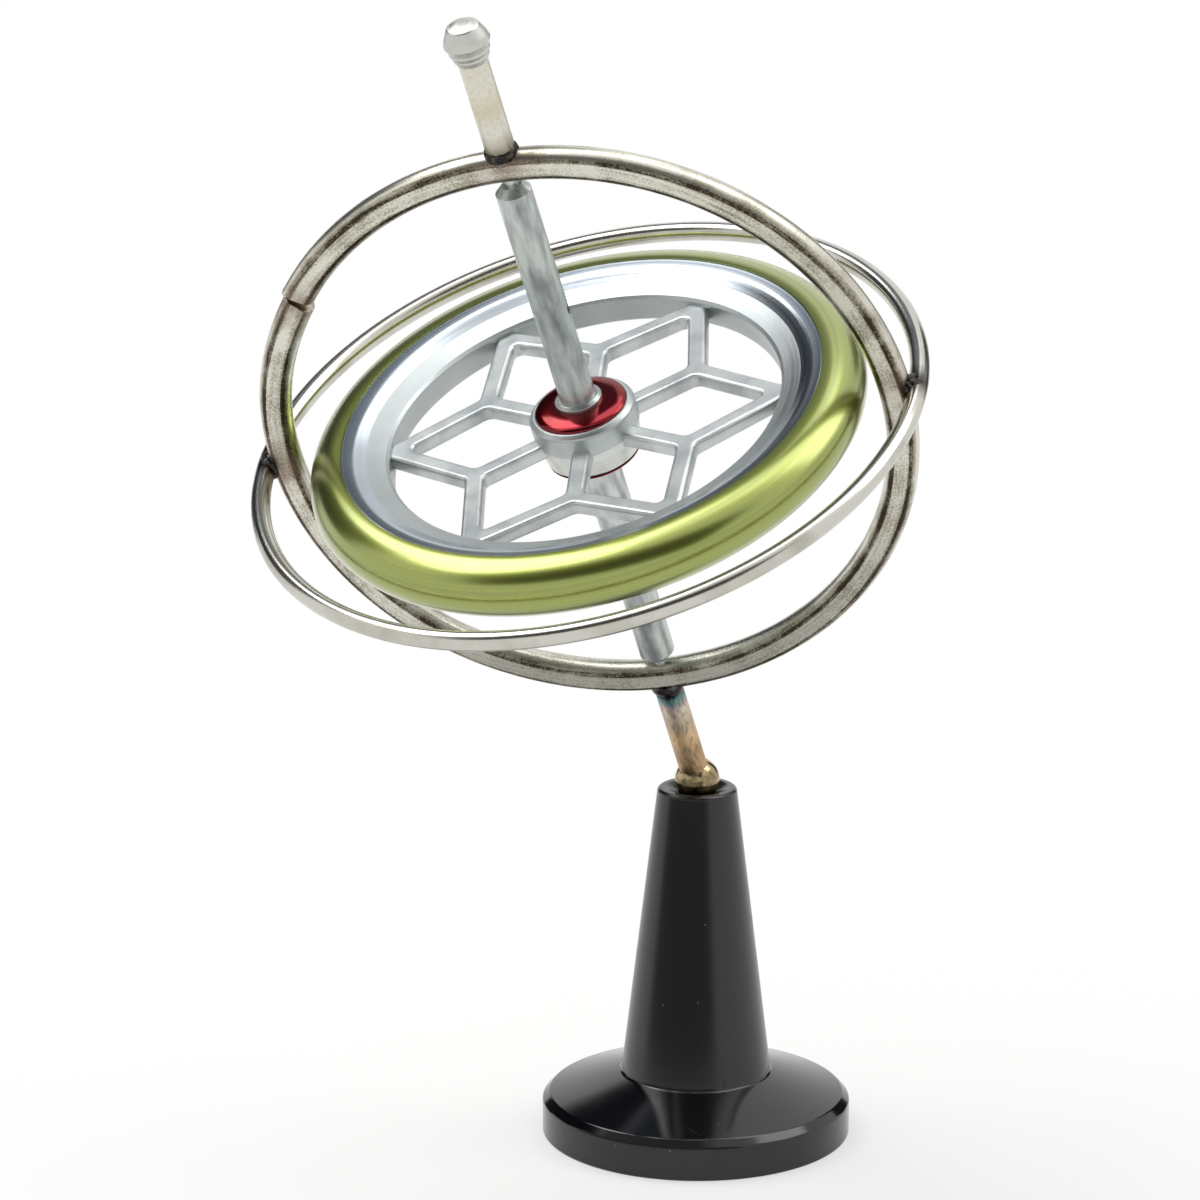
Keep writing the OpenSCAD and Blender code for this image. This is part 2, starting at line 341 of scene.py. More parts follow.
def near_points(tree: bpy.types.NodeTree, own: bpy.types.Node, points: Sequence[Vector],
                full_mm: float, gone_mm: float) -> bpy.types.Node:
    """Gives 1 near any of the points and 0 far from them all.

    Args:
        tree: the material's node tree.
        own: the piece's own millimetres.
        points: the points, in the same millimetres.
        full_mm: the distance up to which the value is 1.
        gone_mm: the distance from which it is 0.

    Returns:
        The node that gives the value.
    """
    heat = None
    for point in points:
        away = add_node(tree, "VectorMath", {0: own, 1: point}, operation="DISTANCE").outputs["Value"]
        near = add_node(tree, "MapRange", {"Value": away, 1: full_mm, 2: gone_mm, 3: 1.0, 4: 0.0})
        heat = near if heat is None else add_node(tree, "Math", {0: heat, 1: near}, operation="MAXIMUM")
    return heat


@dataclass(frozen=True)
class MouldedStyrene(Finish):
    """Black styrene from a polished mould: deep black and glossy, with hair scratches and dust."""

    place: Matrix
    title: str = "moulded_black_styrene"
    black: str = "#050406"
    dust: str = "#8B8680"
    sink_mm: float = 7.0
    scratch_mm: float = 5.0
    # above this height the moulding is a little more satin than on its base
    satin_mm: float = 6.5
    speck_mm: float = 1.3

    def wire(self, tree: bpy.types.NodeTree) -> dict[str, Value]:
        """Wires sink marks, curved hair scratches and dust specks over a clear black gloss."""
        own = own_millimetres(tree, self.place)
        drift = add_node(tree, "TexNoise", {"Vector": own, "Scale": 1 / self.sink_mm, "Detail": 2.0})
        bent = add_node(tree, "MixRGB", {0: 0.72, 1: own, 2: drift.outputs["Color"]}, blend_type="ADD")
        hair = add_node(tree, "TexVoronoi", {"Vector": bent, "Scale": 1 / self.scratch_mm},
                        feature="DISTANCE_TO_EDGE")
        line = add_node(tree, "MapRange", {"Value": hair, 1: 0.0, 2: 0.006, 3: 1.0, 4: 0.0})
        patch = add_node(tree, "TexNoise", {"Vector": own, "Scale": 1 / (0.5 * self.sink_mm), "Detail": 1.0})
        chosen = add_node(tree, "MapRange", {"Value": patch, 1: 0.56, 2: 0.62})
        scratch = add_node(tree, "Math", {0: line, 1: chosen}, operation="MULTIPLY")
        cells = add_node(tree, "TexVoronoi", {"Vector": own, "Scale": 1 / self.speck_mm})
        near = add_node(tree, "MapRange", {"Value": cells, 1: 0.035, 2: 0.06, 3: 1.0, 4: 0.0})
        pick = add_node(tree, "SeparateXYZ", {"Vector": cells.outputs["Color"]})
        rare = add_node(tree, "MapRange", {"Value": pick.outputs["X"], 1: 0.72, 2: 0.78})
        speck = add_node(tree, "Math", {0: near, 1: rare}, operation="MULTIPLY")
        colour = add_node(tree, "MixRGB", {0: speck, 1: linear(self.black), 2: linear(self.dust)})
        haze = add_node(tree, "MapRange", {"Value": patch, 3: 0.08, 4: 0.15})
        height = add_node(tree, "SeparateXYZ", {"Vector": own}).outputs["Z"]
        satin = add_node(tree, "MapRange", {"Value": height, 1: self.satin_mm, 2: self.satin_mm + 1.5,
                                            4: 0.13})
        haze = add_node(tree, "Math", {0: haze, 1: satin}, operation="ADD")
        rough = add_node(tree, "Math", {0: scratch, 1: 0.3, 2: haze}, operation="MULTIPLY_ADD")
        relief = add_node(tree, "Math", {0: scratch, 1: -0.08, 2: drift}, operation="MULTIPLY_ADD")
        bump = add_node(tree, "Bump", {"Height": relief, "Strength": 0.5, "Distance": 0.03 * MM})
        return {"Base Color": colour, "Roughness": rough, "Normal": bump, "IOR": 1.55}


@dataclass(frozen=True)
class PressedWire(Finish):
    """Nickel-plated wire gone cream with age: draw lines, dirt and a band of painted shade beside its flats,
    brown at its welds.
    """

    place: Matrix
    ring_r: float
    # where the edge of a flat lies in the wire's section, from the wire's middle
    edge_in: float
    edge_up: float
    hot_points: tuple[Vector, ...]
    title: str = "aged_nickel_wire"
    bright: str = "#D6D4C7"
    tarnish: str = "#A8A392"
    # the darkest end of the ramp: dirt, and the painted shade in the band beside the flats
    dirt_and_shade: str = "#3A3226"
    rust: str = "#80685A"
    roughness: float = 0.26
    grain_weight: float = 0.8
    # how strongly and how wide the band of painted shade beside each flat darkens the wire
    edge_shade_weight: float = 0.68
    edge_shade_mm: float = 0.85
    heat_mm: float = 5.5
    line_mm: float = 0.28
    patch_mm: float = 2.6
    grain_mm: float = 0.2
    relief_mm: float = 0.012

    def wire(self, tree: bpy.types.NodeTree) -> dict[str, Value]:
        """Wires draw lines, patches, grain and the painted shade band beside the flats into one share of
        tarnish and shade, then the weld tint.
        """
        own = own_millimetres(tree, self.place)
        split = add_node(tree, "SeparateXYZ", {"Vector": own})
        flat = add_node(tree, "VectorMath", {0: own, 1: (1, 0, 1)}, operation="MULTIPLY")
        radius = add_node(tree, "VectorMath", {0: flat}, operation="LENGTH").outputs["Value"]
        along = add_node(tree, "CombineXYZ", {"X": radius, "Y": split.outputs["Y"]})
        drift = add_node(tree, "VectorMath", {0: own, 1: (0.04, 0.04, 0.04), 2: along},
                         operation="MULTIPLY_ADD")
        lines = add_node(tree, "TexNoise", {"Vector": drift, "Scale": 1 / self.line_mm, "Detail": 3.0})
        across = add_node(tree, "Math", {0: radius, 1: self.ring_r}, operation="SUBTRACT")
        inward = add_node(tree, "Math", {0: across}, operation="ABSOLUTE")
        upward = add_node(tree, "Math", {0: split.outputs["Y"]}, operation="ABSOLUTE")
        corner = add_node(tree, "CombineXYZ", {"X": inward, "Y": upward})
        # painted shade: a dark band on the rounded side along each flat's edge, which stands in for a dark
        # reflection
        away = add_node(tree, "VectorMath", {0: corner, 1: (self.edge_in, self.edge_up, 0)},
                        operation="DISTANCE").outputs["Value"]
        edge = add_node(tree, "MapRange", {"Value": away, 1: 0.25 * self.edge_shade_mm,
                                           2: self.edge_shade_mm, 3: 1.0, 4: 0.0})
        patch = add_node(tree, "TexNoise", {"Vector": own, "Scale": 1 / self.patch_mm, "Detail": 5.0})
        grain = add_node(tree, "TexNoise", {"Vector": own, "Scale": 1 / self.grain_mm, "Detail": 3.0})
        soil_and_shade = add_node(tree, "Math", {0: lines, 1: 0.9, 2: patch}, operation="MULTIPLY_ADD")
        soil_and_shade = add_node(tree, "Math", {0: grain, 1: self.grain_weight, 2: soil_and_shade}, operation="MULTIPLY_ADD")
        soil_and_shade = add_node(tree, "Math", {0: edge, 1: self.edge_shade_weight, 2: soil_and_shade}, operation="MULTIPLY_ADD")
        clean = 0.85 + 0.5 * self.grain_weight
        share = add_node(tree, "MapRange", {"Value": soil_and_shade, 1: clean, 2: clean + 0.85})
        stops = ((0.0, self.bright), (0.45, self.tarnish), (1.0, self.dirt_and_shade))
        colour = add_node(tree, "ValToRGB", {"Fac": share}, stops)
        heat = near_points(tree, own, self.hot_points, 1.5, self.heat_mm)
        burnt = add_node(tree, "Math", {0: heat, 1: patch}, operation="MULTIPLY")
        tint = add_node(tree, "MapRange", {"Value": burnt, 1: 0.12, 2: 0.6, 4: 0.6})
        tinted = add_node(tree, "MixRGB", {0: tint, 1: colour, 2: linear(self.rust)})
        rough = add_node(tree, "MapRange", {"Value": share, 3: self.roughness, 4: self.roughness + 0.2})
        bump = add_node(tree, "Bump", {"Height": soil_and_shade, "Strength": 0.6, "Distance": self.relief_mm * MM})
        return {"Base Color": tinted, "Metallic": 1.0, "Roughness": rough, "Normal": bump}


@dataclass(frozen=True)
class HeatTintedNickel(Finish):
    """Nickel plate scorched by welding: bands of copper, straw and blue-green along a post."""

    place: Matrix
    start_mm: float
    end_mm: float
    stops: tuple[tuple[float, str], ...]
    title: str = "heat_tinted_nickel"
    speck: str = "#4F3F2E"
    roughness: float = 0.34
    patch_mm: float = 0.9
    grain_mm: float = 0.3
    stretch: float = 0.35
    soot: float = 0.6

    def wire(self, tree: bpy.types.NodeTree) -> dict[str, Value]:
        """Wires colour bands along the piece's own Z, broken up by patches and a sooty grain."""
        own = own_millimetres(tree, self.place)
        height = add_node(tree, "SeparateXYZ", {"Vector": own}).outputs["Z"]
        drawn = own_millimetres(tree, self.place, (1, 1, self.stretch))
        patch = add_node(tree, "TexNoise", {"Vector": drawn, "Scale": 1 / self.patch_mm, "Detail": 4.0})
        length = abs(self.end_mm - self.start_mm)
        along = add_node(tree, "MapRange", {"Value": height, 1: self.start_mm, 2: self.end_mm})
        wander = add_node(tree, "MapRange", {"Value": patch, 3: -0.9 / length, 4: 0.9 / length})
        share = add_node(tree, "Math", {0: along, 1: wander}, operation="ADD", use_clamp=True)
        bands = add_node(tree, "ValToRGB", {"Fac": share}, self.stops)
        grain = add_node(tree, "TexNoise", {"Vector": drawn, "Scale": 1 / self.grain_mm, "Detail": 3.0})
        soot = add_node(tree, "MapRange", {"Value": grain, 1: 0.48, 2: 0.72, 4: self.soot})
        colour = add_node(tree, "MixRGB", {0: soot, 1: bands, 2: linear(self.speck)})
        bump = add_node(tree, "Bump", {"Height": grain, "Strength": 0.7, "Distance": 0.015 * MM})
        rough = add_node(tree, "MapRange", {"Value": patch, 3: self.roughness - 0.06,
                                            4: self.roughness + 0.12})
        return {"Base Color": colour, "Metallic": 1.0, "Roughness": rough, "Normal": bump}


@dataclass(frozen=True)
class DrawnSteel(Finish):
    """Plated steel wire drawn bright: mirror-like along the wire, dark and blue beside its welds."""

    place: Matrix
    hot_points: tuple[Vector, ...]
    title: str = "bright_drawn_wire"
    bright: str = "#CBC9C0"
    worn: str = "#ACA89B"
    scorched: str = "#3A3430"
    roughness: float = 0.16
    scorch_mm: float = 3.6
    patch_mm: float = 7.0
    grain_mm: float = 0.25

    def wire(self, tree: bpy.types.NodeTree) -> dict[str, Value]:
        """Wires worn patches, faint pits and a dark scorch that fades away from each weld."""
        own = own_millimetres(tree, self.place)
        patch = add_node(tree, "TexNoise", {"Vector": own, "Scale": 1 / self.patch_mm, "Detail": 4.0})
        grain = add_node(tree, "TexNoise", {"Vector": own, "Scale": 1 / self.grain_mm, "Detail": 2.0})
        worn = add_node(tree, "MapRange", {"Value": patch, 1: 0.45, 2: 0.72})
        colour = add_node(tree, "MixRGB", {0: worn, 1: linear(self.bright), 2: linear(self.worn)})
        heat = near_points(tree, own, self.hot_points, 1.4, self.scorch_mm)
        broken = add_node(tree, "Math", {0: heat, 1: patch}, operation="MULTIPLY")
        scorch = add_node(tree, "MapRange", {"Value": broken, 1: 0.08, 2: 0.5})
        tinted = add_node(tree, "MixRGB", {0: scorch, 1: colour, 2: linear(self.scorched)})
        rough = add_node(tree, "MapRange", {"Value": patch, 3: self.roughness - 0.03,
                                            4: self.roughness + 0.10})
        bump = add_node(tree, "Bump", {"Height": grain, "Strength": 0.4, "Distance": 0.006 * MM})
        return {"Base Color": tinted, "Metallic": 1.0, "Roughness": rough, "Normal": bump}


@dataclass(frozen=True)
class WeldMetal(Finish):
    """Brazed weld bead, blackened by its flux: lumpy, half glossy, with a blue bloom."""

    place: Matrix
    title: str = "blackened_weld"
    black: str = "#322E2E"
    bloom: str = "#66727C"
    bare: str = "#6F6459"
    bloom_mm: float = 1.6
    grain_mm: float = 0.35

    def wire(self, tree: bpy.types.NodeTree) -> dict[str, Value]:
        """Wires the black scale, its blue bloom and a few bare spots."""
        own = own_millimetres(tree, self.place)
        bloom = add_node(tree, "TexNoise", {"Vector": own, "Scale": 1 / self.bloom_mm, "Detail": 3.0})
        grain = add_node(tree, "TexNoise", {"Vector": own, "Scale": 1 / self.grain_mm, "Detail": 3.0})
        stops = ((0.3, self.bloom), (0.45, self.black), (0.56, self.black), (0.72, self.bare))
        colour = add_node(tree, "ValToRGB", {"Fac": bloom}, stops)
        rough = add_node(tree, "MapRange", {"Value": grain, 3: 0.14, 4: 0.36})
        bump = add_node(tree, "Bump", {"Height": grain, "Strength": 0.5, "Distance": 0.015 * MM})
        return {"Base Color": colour, "Metallic": 1.0, "Roughness": rough, "Normal": bump}


@dataclass(frozen=True)
class TurnedMetal(Finish):
    """Metal left from the lathe: fine rings round the axis that draw the light out along them."""

    place: Matrix
    colour: str
    roughness: float
    title: str = "turned_metal"
    dull: str = "#8C9193"
    # real grooves are finer than the render shows, so they are drawn as coarse as they need to be
    groove_mm: float = 0.16
    relief_mm: float = 0.004
    patch_mm: float = 3.0
    patch_share: float = 0.35
    patch_stretch: tuple[float, float, float] = (1, 1, 1)

    def wire(self, tree: bpy.types.NodeTree) -> dict[str, Value]:
        """Wires turning grooves that depend on radius and height alone, and soft dull patches."""
        radial = radial_millimetres(tree, self.place)
        groove = add_node(tree, "TexNoise", {"Vector": radial, "Scale": 1 / self.groove_mm, "Detail": 3.0,
                                             "Roughness": 0.7})
        own = own_millimetres(tree, self.place, self.patch_stretch)
        patch = add_node(tree, "TexNoise", {"Vector": own, "Scale": 1 / self.patch_mm, "Detail": 3.0})
        share = add_node(tree, "MapRange", {"Value": patch, 1: 0.4, 2: 0.75, 4: self.patch_share})
        colour = add_node(tree, "MixRGB", {0: share, 1: linear(self.colour), 2: linear(self.dull)})
        rough = add_node(tree, "MapRange", {"Value": groove, 1: 0.3, 2: 0.7,
                                            3: self.roughness * 0.8, 4: self.roughness * 1.3})
        bump = add_node(tree, "Bump", {"Height": groove, "Strength": 0.6, "Distance": self.relief_mm * MM})
        return {"Base Color": colour, "Metallic": 1.0, "Roughness": rough, "Normal": bump}


@dataclass(frozen=True)
class CastAlloy(Finish):
    """Die-cast zinc alloy as it leaves the mould: matt, cool grey, with a fine sandy skin."""

    place: Matrix
    title: str = "die_cast_alloy"
    colour: str = "#CACECD"
    shade: str = "#9FA5A5"
    # the real skin is finer, and is drawn coarser so that it shows
    grain_mm: float = 0.4
    flow_mm: float = 3.5

    def wire(self, tree: bpy.types.NodeTree) -> dict[str, Value]:
        """Wires flow marks and the sandy skin."""
        own = own_millimetres(tree, self.place)
        flow = add_node(tree, "TexNoise", {"Vector": own, "Scale": 1 / self.flow_mm, "Detail": 4.0})
        grain = add_node(tree, "TexNoise", {"Vector": own, "Scale": 1 / self.grain_mm, "Detail": 4.0})
        share = add_node(tree, "MapRange", {"Value": flow, 1: 0.42, 2: 0.75})
        colour = add_node(tree, "MixRGB", {0: share, 1: linear(self.colour), 2: linear(self.shade)})
        bump = add_node(tree, "Bump", {"Height": grain, "Strength": 0.6, "Distance": 0.02 * MM})
        return {"Base Color": colour, "Metallic": 1.0, "Roughness": 0.4, "Normal": bump}


@dataclass(frozen=True)
class CandyLacquer(Finish):
    """Clear tinted lacquer over bright metal: deep colour where it is dark, near white in the glare."""

    place: Matrix
    colour: str
    deep: str
    roughness: float = 0.22
    coat_ior: float = 1.5
    coat_roughness: float = 0.1
    edge: str = "#FFFFFF"
    title: str = "candy_lacquer"
    # drawn coarser than the real turning marks, so that they show
    streak_mm: float = 0.5
    relief_mm: float = 0.004

    def wire(self, tree: bpy.types.NodeTree) -> dict[str, Value]:
        """Wires the tint, faint turning streaks under it and a clear coat over it."""
        radial = radial_millimetres(tree, self.place)
        streak = add_node(tree, "TexNoise", {"Vector": radial, "Scale": 1 / self.streak_mm, "Detail": 3.0})
        share = add_node(tree, "MapRange", {"Value": streak, 1: 0.35, 2: 0.75})
        colour = add_node(tree, "MixRGB", {0: share, 1: linear(self.colour), 2: linear(self.deep)})
        bump = add_node(tree, "Bump", {"Height": streak, "Strength": 0.5, "Distance": self.relief_mm * MM})
        return {
            "Base Color": colour, "Metallic": 1.0, "Roughness": self.roughness, "Normal": bump,
            "Coat Weight": 1.0, "Coat IOR": self.coat_ior, "Coat Roughness": self.coat_roughness,
            "Specular Tint": linear(self.edge),
        }


@dataclass(frozen=True)
class Part:
    """Which body, material slot and CAD nodes a drawn piece belongs to."""

    name: str
    body: str
    slot: str
    replaces: tuple[str, ...]


def make_piece(part: Part, bm: bmesh.types.BMesh, place: Matrix, finishes: Sequence[Finish],
               sharp_deg: float = 32.0) -> None:
    """Turns a mesh in millimetres into a finished piece of the model.

    Args:
        part: its name, body, slot and the CAD nodes that it stands for.
        bm: its mesh in its own millimetres, which is used up.
        place: the matrix to the row frame.
        finishes: its materials, in the order of the faces' material numbers.
        sharp_deg: edges that turn by more than this stay sharp.
    """
    bm.transform(place)
    piece = mesh_object(part.name, bm, [finish.material() for finish in finishes])
    mesh = piece.data
    mesh.polygons.foreach_set("use_smooth", [True] * len(mesh.polygons))
    mesh.set_sharp_from_angle(angle=math.radians(sharp_deg))
    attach(piece, part.body)
    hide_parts(*part.replaces)
    LOG.info("%s rides on %s: %d faces", part.name, part.body, len(mesh.polygons))


@dataclass
class Stand:
    """The moulded stand: round base, tapered column and the dished cup for the foot ball."""

    base_r: float = 15.9
    base_edge: float = 0.25
    wall_h: float = 3.5
    bevel: float = 0.75
    rise: float = 2.4
    column_foot_r: float = 7.7
    wall_fillet: float = 0.4
    bevel_fillet: float = 0.5
    column_fillet: float = 0.45
    column_top_r: float = 4.05
    shoulder_r: float = 0.7
    height: float = 37.0
    cup_r: float = 3.2
    cup_fillet: float = 0.12
    seat_fillet: float = 0.1
    seat_r: float = 2.35
    seat_edge_r: float = 1.84
    pivot_h: float = 37.8
    place: Matrix = field(default_factory=lambda: Matrix.Scale(MM, 4))

    def outline(self) -> list[Vector]:
        """Gives the stand's outline from the middle of its underside to the middle of its cup."""
        slope_z = self.wall_h + self.bevel
        seat_z = self.pivot_h - math.sqrt(self.seat_r ** 2 - self.seat_edge_r ** 2)
        body = rounded([
            Corner(0, 0),
            Corner(self.base_r, 0, self.base_edge),
            Corner(self.base_r, self.wall_h, self.wall_fillet),
            Corner(self.base_r - self.bevel, slope_z, self.bevel_fillet),
            Corner(self.column_foot_r, slope_z + self.rise, self.column_fillet),
            Corner(self.column_top_r, self.height, self.shoulder_r),
            Corner(self.cup_r, self.height, self.cup_fillet),
            Corner(self.seat_edge_r, seat_z, self.seat_fillet),
        ], steps=8)
        turn = math.degrees(math.acos(self.seat_edge_r / self.seat_r))
        return body[:-1] + arc((0, self.pivot_h), self.seat_r, -turn, -90, 12)

    def build(self) -> None:
        """Makes the stand."""
        part = Part("stand_moulding", "stand", "black_plastic", ("pedestal",))
        make_piece(part, turned(self.outline()), self.place, [MouldedStyrene(self.place)])


@dataclass
class WireFrame:
    """The two welded wire rings with their posts and balls."""

    pose: Pose
    ring_r: float = 31.0
    wire_r: float = 1.6
    flat_half: float = 1.375
    equator_r: float = 33.195
    equator_wire_r: float = 0.975
    seam_deg: float = 141.6
    seam_gap: float = 0.85
    seam_pinch: float = 0.3
    seam_step: float = 0.35
    seam_fade_deg: float = 3.0
    end_bevel: float = 0.09
    step_fade_deg: float = 26.0
    post_r: float = 1.45
    middle_h: float = 45.0
    ball_r: float = 2.3
    collar_sag: float = 0.25
    collar_swell: float = 0.05
    joint_gap: float = 0.55
    clearance: float = 0.05

    def __post_init__(self) -> None:
        """Works out the places of the frame and of the foot."""
        self.place = self.pose.place(self.pose.middle, self.pose.crossing)
        self.foot_place = self.pose.place(self.pose.pivot, self.pose.crossing)
        self.outer_r = self.ring_r + self.wire_r
        self.flat_w = math.sqrt(self.wire_r ** 2 - self.flat_half ** 2)

    def ring_section(self) -> list[Vector]:
        """Gives the main wire's section: a round wire with two soft-edged pressed flats."""
        half = math.degrees(math.asin(self.flat_half / self.wire_r))
        soft = 5
        right = arc((self.ring_r, 0), self.wire_r, -half + soft, half - soft, 14)
        left = arc((self.ring_r, 0), self.wire_r, 180 - half + soft, 180 + half - soft, 14)
        top = [Vector((self.ring_r + self.flat_w * s, self.flat_half)) for s in (0.86, 0.5, 0, -0.5, -0.86)]
        low = [Vector((p[0], -p[1])) for p in reversed(top)]
        return right + top + left + low

    def opened(self, radius: float, turn: float) -> tuple[float, float]:
        """Leans the wire's two ends back from their butt joint and steps the first one inwards.

        Args:
            radius: a point's distance from the ring's axis.
            turn: its angle from the joint, in radians.

        Returns:
            The radius and the turn that it moves to.
        """
        share = (radius - self.ring_r + self.wire_r) / (2 * self.wire_r)
        back = 0.5 * (self.seam_gap + (self.seam_pinch - self.seam_gap) * share) / radius
        fade = math.radians(self.seam_fade_deg)
        turn += back * max(0.0, 1 - turn / fade)
        turn -= back * max(0.0, 1 - (FULL_TURN - turn) / fade)
        near = max(0.0, 1 - turn / math.radians(self.step_fade_deg))
        return radius - self.seam_step * near ** 2 * (3 - 2 * near), turn

    def build_main_ring(self) -> None:
        """Makes the thick ring with its flats and its open butt joint."""
        # the spin stops just short of a full turn, so that the ends aren't merged, and the loop closes it
        bm = turned(self.ring_section(), closed=True, steps=480, angle=math.radians(359.999))
        seam = math.radians(self.seam_deg)
        for vert in bm.verts:
            turn = math.atan2(vert.co.y, vert.co.x) % FULL_TURN
            if turn > FULL_TURN - 1e-4:
                turn = FULL_TURN
            radius, turn = self.opened(math.hypot(vert.co.x, vert.co.y), turn)
            wobble = noise.noise(Vector((4 * math.cos(turn), 4 * math.sin(turn), 0.0)))
            height = vert.co.z * (1 + 0.02 * wobble)
            vert.co = (radius * math.cos(seam + turn), -height, radius * math.sin(seam + turn))
        ends = [e for e in bm.edges if e.is_boundary]
        caps = bmesh.ops.holes_fill(bm, edges=ends, sides=0)["faces"]
        bmesh.ops.recalc_face_normals(bm, faces=bm.faces)
        rims = list({e for face in caps for e in face.edges})
        bmesh.ops.bevel(bm, geom=rims, offset=self.end_bevel, offset_type="OFFSET", segments=3, profile=0.5,
                        affect="EDGES", material=-1)
        for face in bm.faces:
            face.material_index = 1 if abs(face.normal.y) > 0.985 else 0
        hot = (Vector((self.outer_r, 0, 0)), Vector((-self.outer_r, 0, 0)), Vector((0, 0, self.outer_r)),
               Vector((self.ring_r * math.cos(seam), 0, self.ring_r * math.sin(seam))))
        wire = PressedWire(self.place, self.ring_r, self.flat_w, self.flat_half, hot)
        # the flats take only a little of the painted shade band that darkens the rounded sides
        flats = replace(wire, title="pressed_nickel_flats", roughness=0.38, relief_mm=0.03, grain_weight=1.2,
                        edge_shade_weight=0.25, edge_shade_mm=0.35, bright="#DEDCD0")
        part = Part("main_ring_wire", "frame", "aged_nickel", ("main_ring",))
        make_piece(part, bm, self.place, [wire, flats])

    def build_equator_ring(self) -> None:
        """Makes the thin round ring."""
        section = arc((self.equator_r, 0), self.equator_wire_r, 0, 360 - 15, 23)
        hot = (Vector((-self.outer_r, 0, 0)), Vector((self.outer_r, 0, 0)))
        part = Part("equator_ring_wire", "frame", "polished_steel", ("equator_ring",))
        make_piece(part, turned(section, closed=True, steps=480), self.place, [DrawnSteel(self.place, hot)])

    def bead(self, centre: Vector, size: Vector, seed: float, rough: float = 0.1) -> bmesh.types.BMesh:
        """Makes one lumpy weld bead.

        Args:
            centre: its middle in the frame's millimetres.
            size: its half lengths along X, Y and Z.
            seed: where its lumps are taken from.
            rough: how lumpy it is, as a share of its size.

        Returns:
            Its mesh.
        """
        bm = bmesh.new()
        bmesh.ops.create_icosphere(bm, subdivisions=5, radius=1.0)
        for vert in bm.verts:
            ray = vert.co.normalized()
            lump = noise.noise(ray * 1.9 + Vector((seed, 0, 0)))
            lump += 0.4 * noise.noise(ray * 4.5 + Vector((0, seed, 0)))
            vert.co = centre + Vector(a * b for a, b in zip(ray, size)) * (1 - rough + rough * lump)
        return bm

    def build_crossing_welds(self) -> None:
        """Makes the dark bead at each crossing of the two rings."""
        sides = (("left", -1, 3.1), ("right", 1, 8.4))
        for name, side, seed in sides:
            centre = Vector((side * (self.outer_r + 0.05), 0, 0))
            bm = self.bead(centre, Vector((1.5, 1.69, 1.6)), seed)
            part = Part(f"{name}_crossing_bead", "frame", "dark_weld", (f"{name}_crossing_weld",))
            make_piece(part, bm, self.place, [WeldMetal(self.place)])

    def build_seam_weld(self) -> None:
        """Makes the bright tack that closes the butt joint on the outside."""
        angle = math.radians(self.seam_deg)
        reach = self.outer_r - 0.42
        centre = Vector((reach * math.cos(angle), 0, reach * math.sin(angle)))
        bm = self.bead(centre, Vector((0.5, 0.85, 0.5)), 5.2, rough=0.12)
        part = Part("ring_seam_tack", "frame", "polished_steel", ("ring_seam_weld",))
        steel = TurnedMetal(self.place, title="bright_tack_steel", colour="#C9C9C6", roughness=0.22)
        make_piece(part, bm, self.place, [steel])

    def post_collar(self, side: int, seed: float, inner: float, outer: float) -> bmesh.types.BMesh:
        """Makes the uneven weld round the foot of a post.

        Args:
            side: 1 for the top post and -1 for the foot post.
            seed: where its lumps are taken from.
            inner: how far it reaches from the ring's outer side towards the ring.
            outer: how far it reaches along the post.

        Returns:
            Its mesh.
        """
        r = self.post_r
        points = rounded([
            Corner(0, self.outer_r - inner),
            Corner(r + 0.1, self.outer_r - inner, 0.1),
            Corner(r + 0.3, self.outer_r - 0.1, 0.3),
            Corner(r + 0.14, self.outer_r + outer, 0.2),
            Corner(r - 0.02, self.outer_r + outer),
            Corner(0, self.outer_r + outer),
        ], steps=5)
        bm = turned(points, steps=96)
        for vert in bm.verts:
            spot = Vector((vert.co.x, vert.co.y, 0)).normalized()
            lump = noise.noise(spot * 1.6 + Vector((0, 0, seed)))
            if vert.co.z > self.outer_r:
                vert.co.z += self.collar_sag * min(0.0, lump - 0.1)
            swell = 1 + self.collar_swell * (lump - 0.3)
            vert.co.x *= swell
            vert.co.y *= swell
        if side < 0:
            bmesh.ops.rotate(bm, verts=bm.verts, cent=(0, 0, 0), matrix=Matrix.Rotation(math.pi, 3, "X"))
        return bm

    def build_posts(self) -> None:
        """Makes both posts and the welds at their feet."""
        top = rounded([
            Corner(0, self.outer_r - 1.0),
            Corner(self.post_r, self.outer_r - 1.0),
            Corner(self.post_r, self.middle_h - 0.6),
            Corner(0, self.middle_h - 0.6),
        ])
        tint = ((0.0, "#6B6558"), (0.12, "#BDB7A6"), (0.25, "#DEDCD2"), (0.5, "#D2CBB4"), (0.68, "#DEDACC"),
                (1.0, "#D6D3C6"))
        part = Part("top_post_rod", "frame", "aged_nickel", ("top_post",))
        make_piece(part, turned(top, steps=96), self.place, [
            HeatTintedNickel(self.place, self.outer_r, self.middle_h - 1.5, tint, speck="#B9B5A2",
                             roughness=0.38, patch_mm=2.0, stretch=0.8, soot=0.45)])
        length = self.middle_h - self.outer_r - self.joint_gap
        foot = rounded([Corner(r, z) for r, z in ((0, 1.0), (self.post_r, 1.0), (self.post_r, length),
                                                  (0, length))])
        burn = ((0.0, "#C4A078"), (0.25, "#A58A6A"), (0.45, "#CDAE86"), (0.62, "#B5A48C"), (0.8, "#CDC1AC"),
                (0.87, "#B4A3A0"), (0.91, "#7C9A96"), (0.96, "#5C807E"), (1.0, "#1E2226"))
        part = Part("foot_post_rod", "leaning_post", "aged_nickel", ("foot_post",))
        make_piece(part, turned(foot, steps=96), self.foot_place, [
            HeatTintedNickel(self.foot_place, 1.5, length, burn)])
        part = Part("top_post_bead", "frame", "dark_weld", ("top_post_weld",))
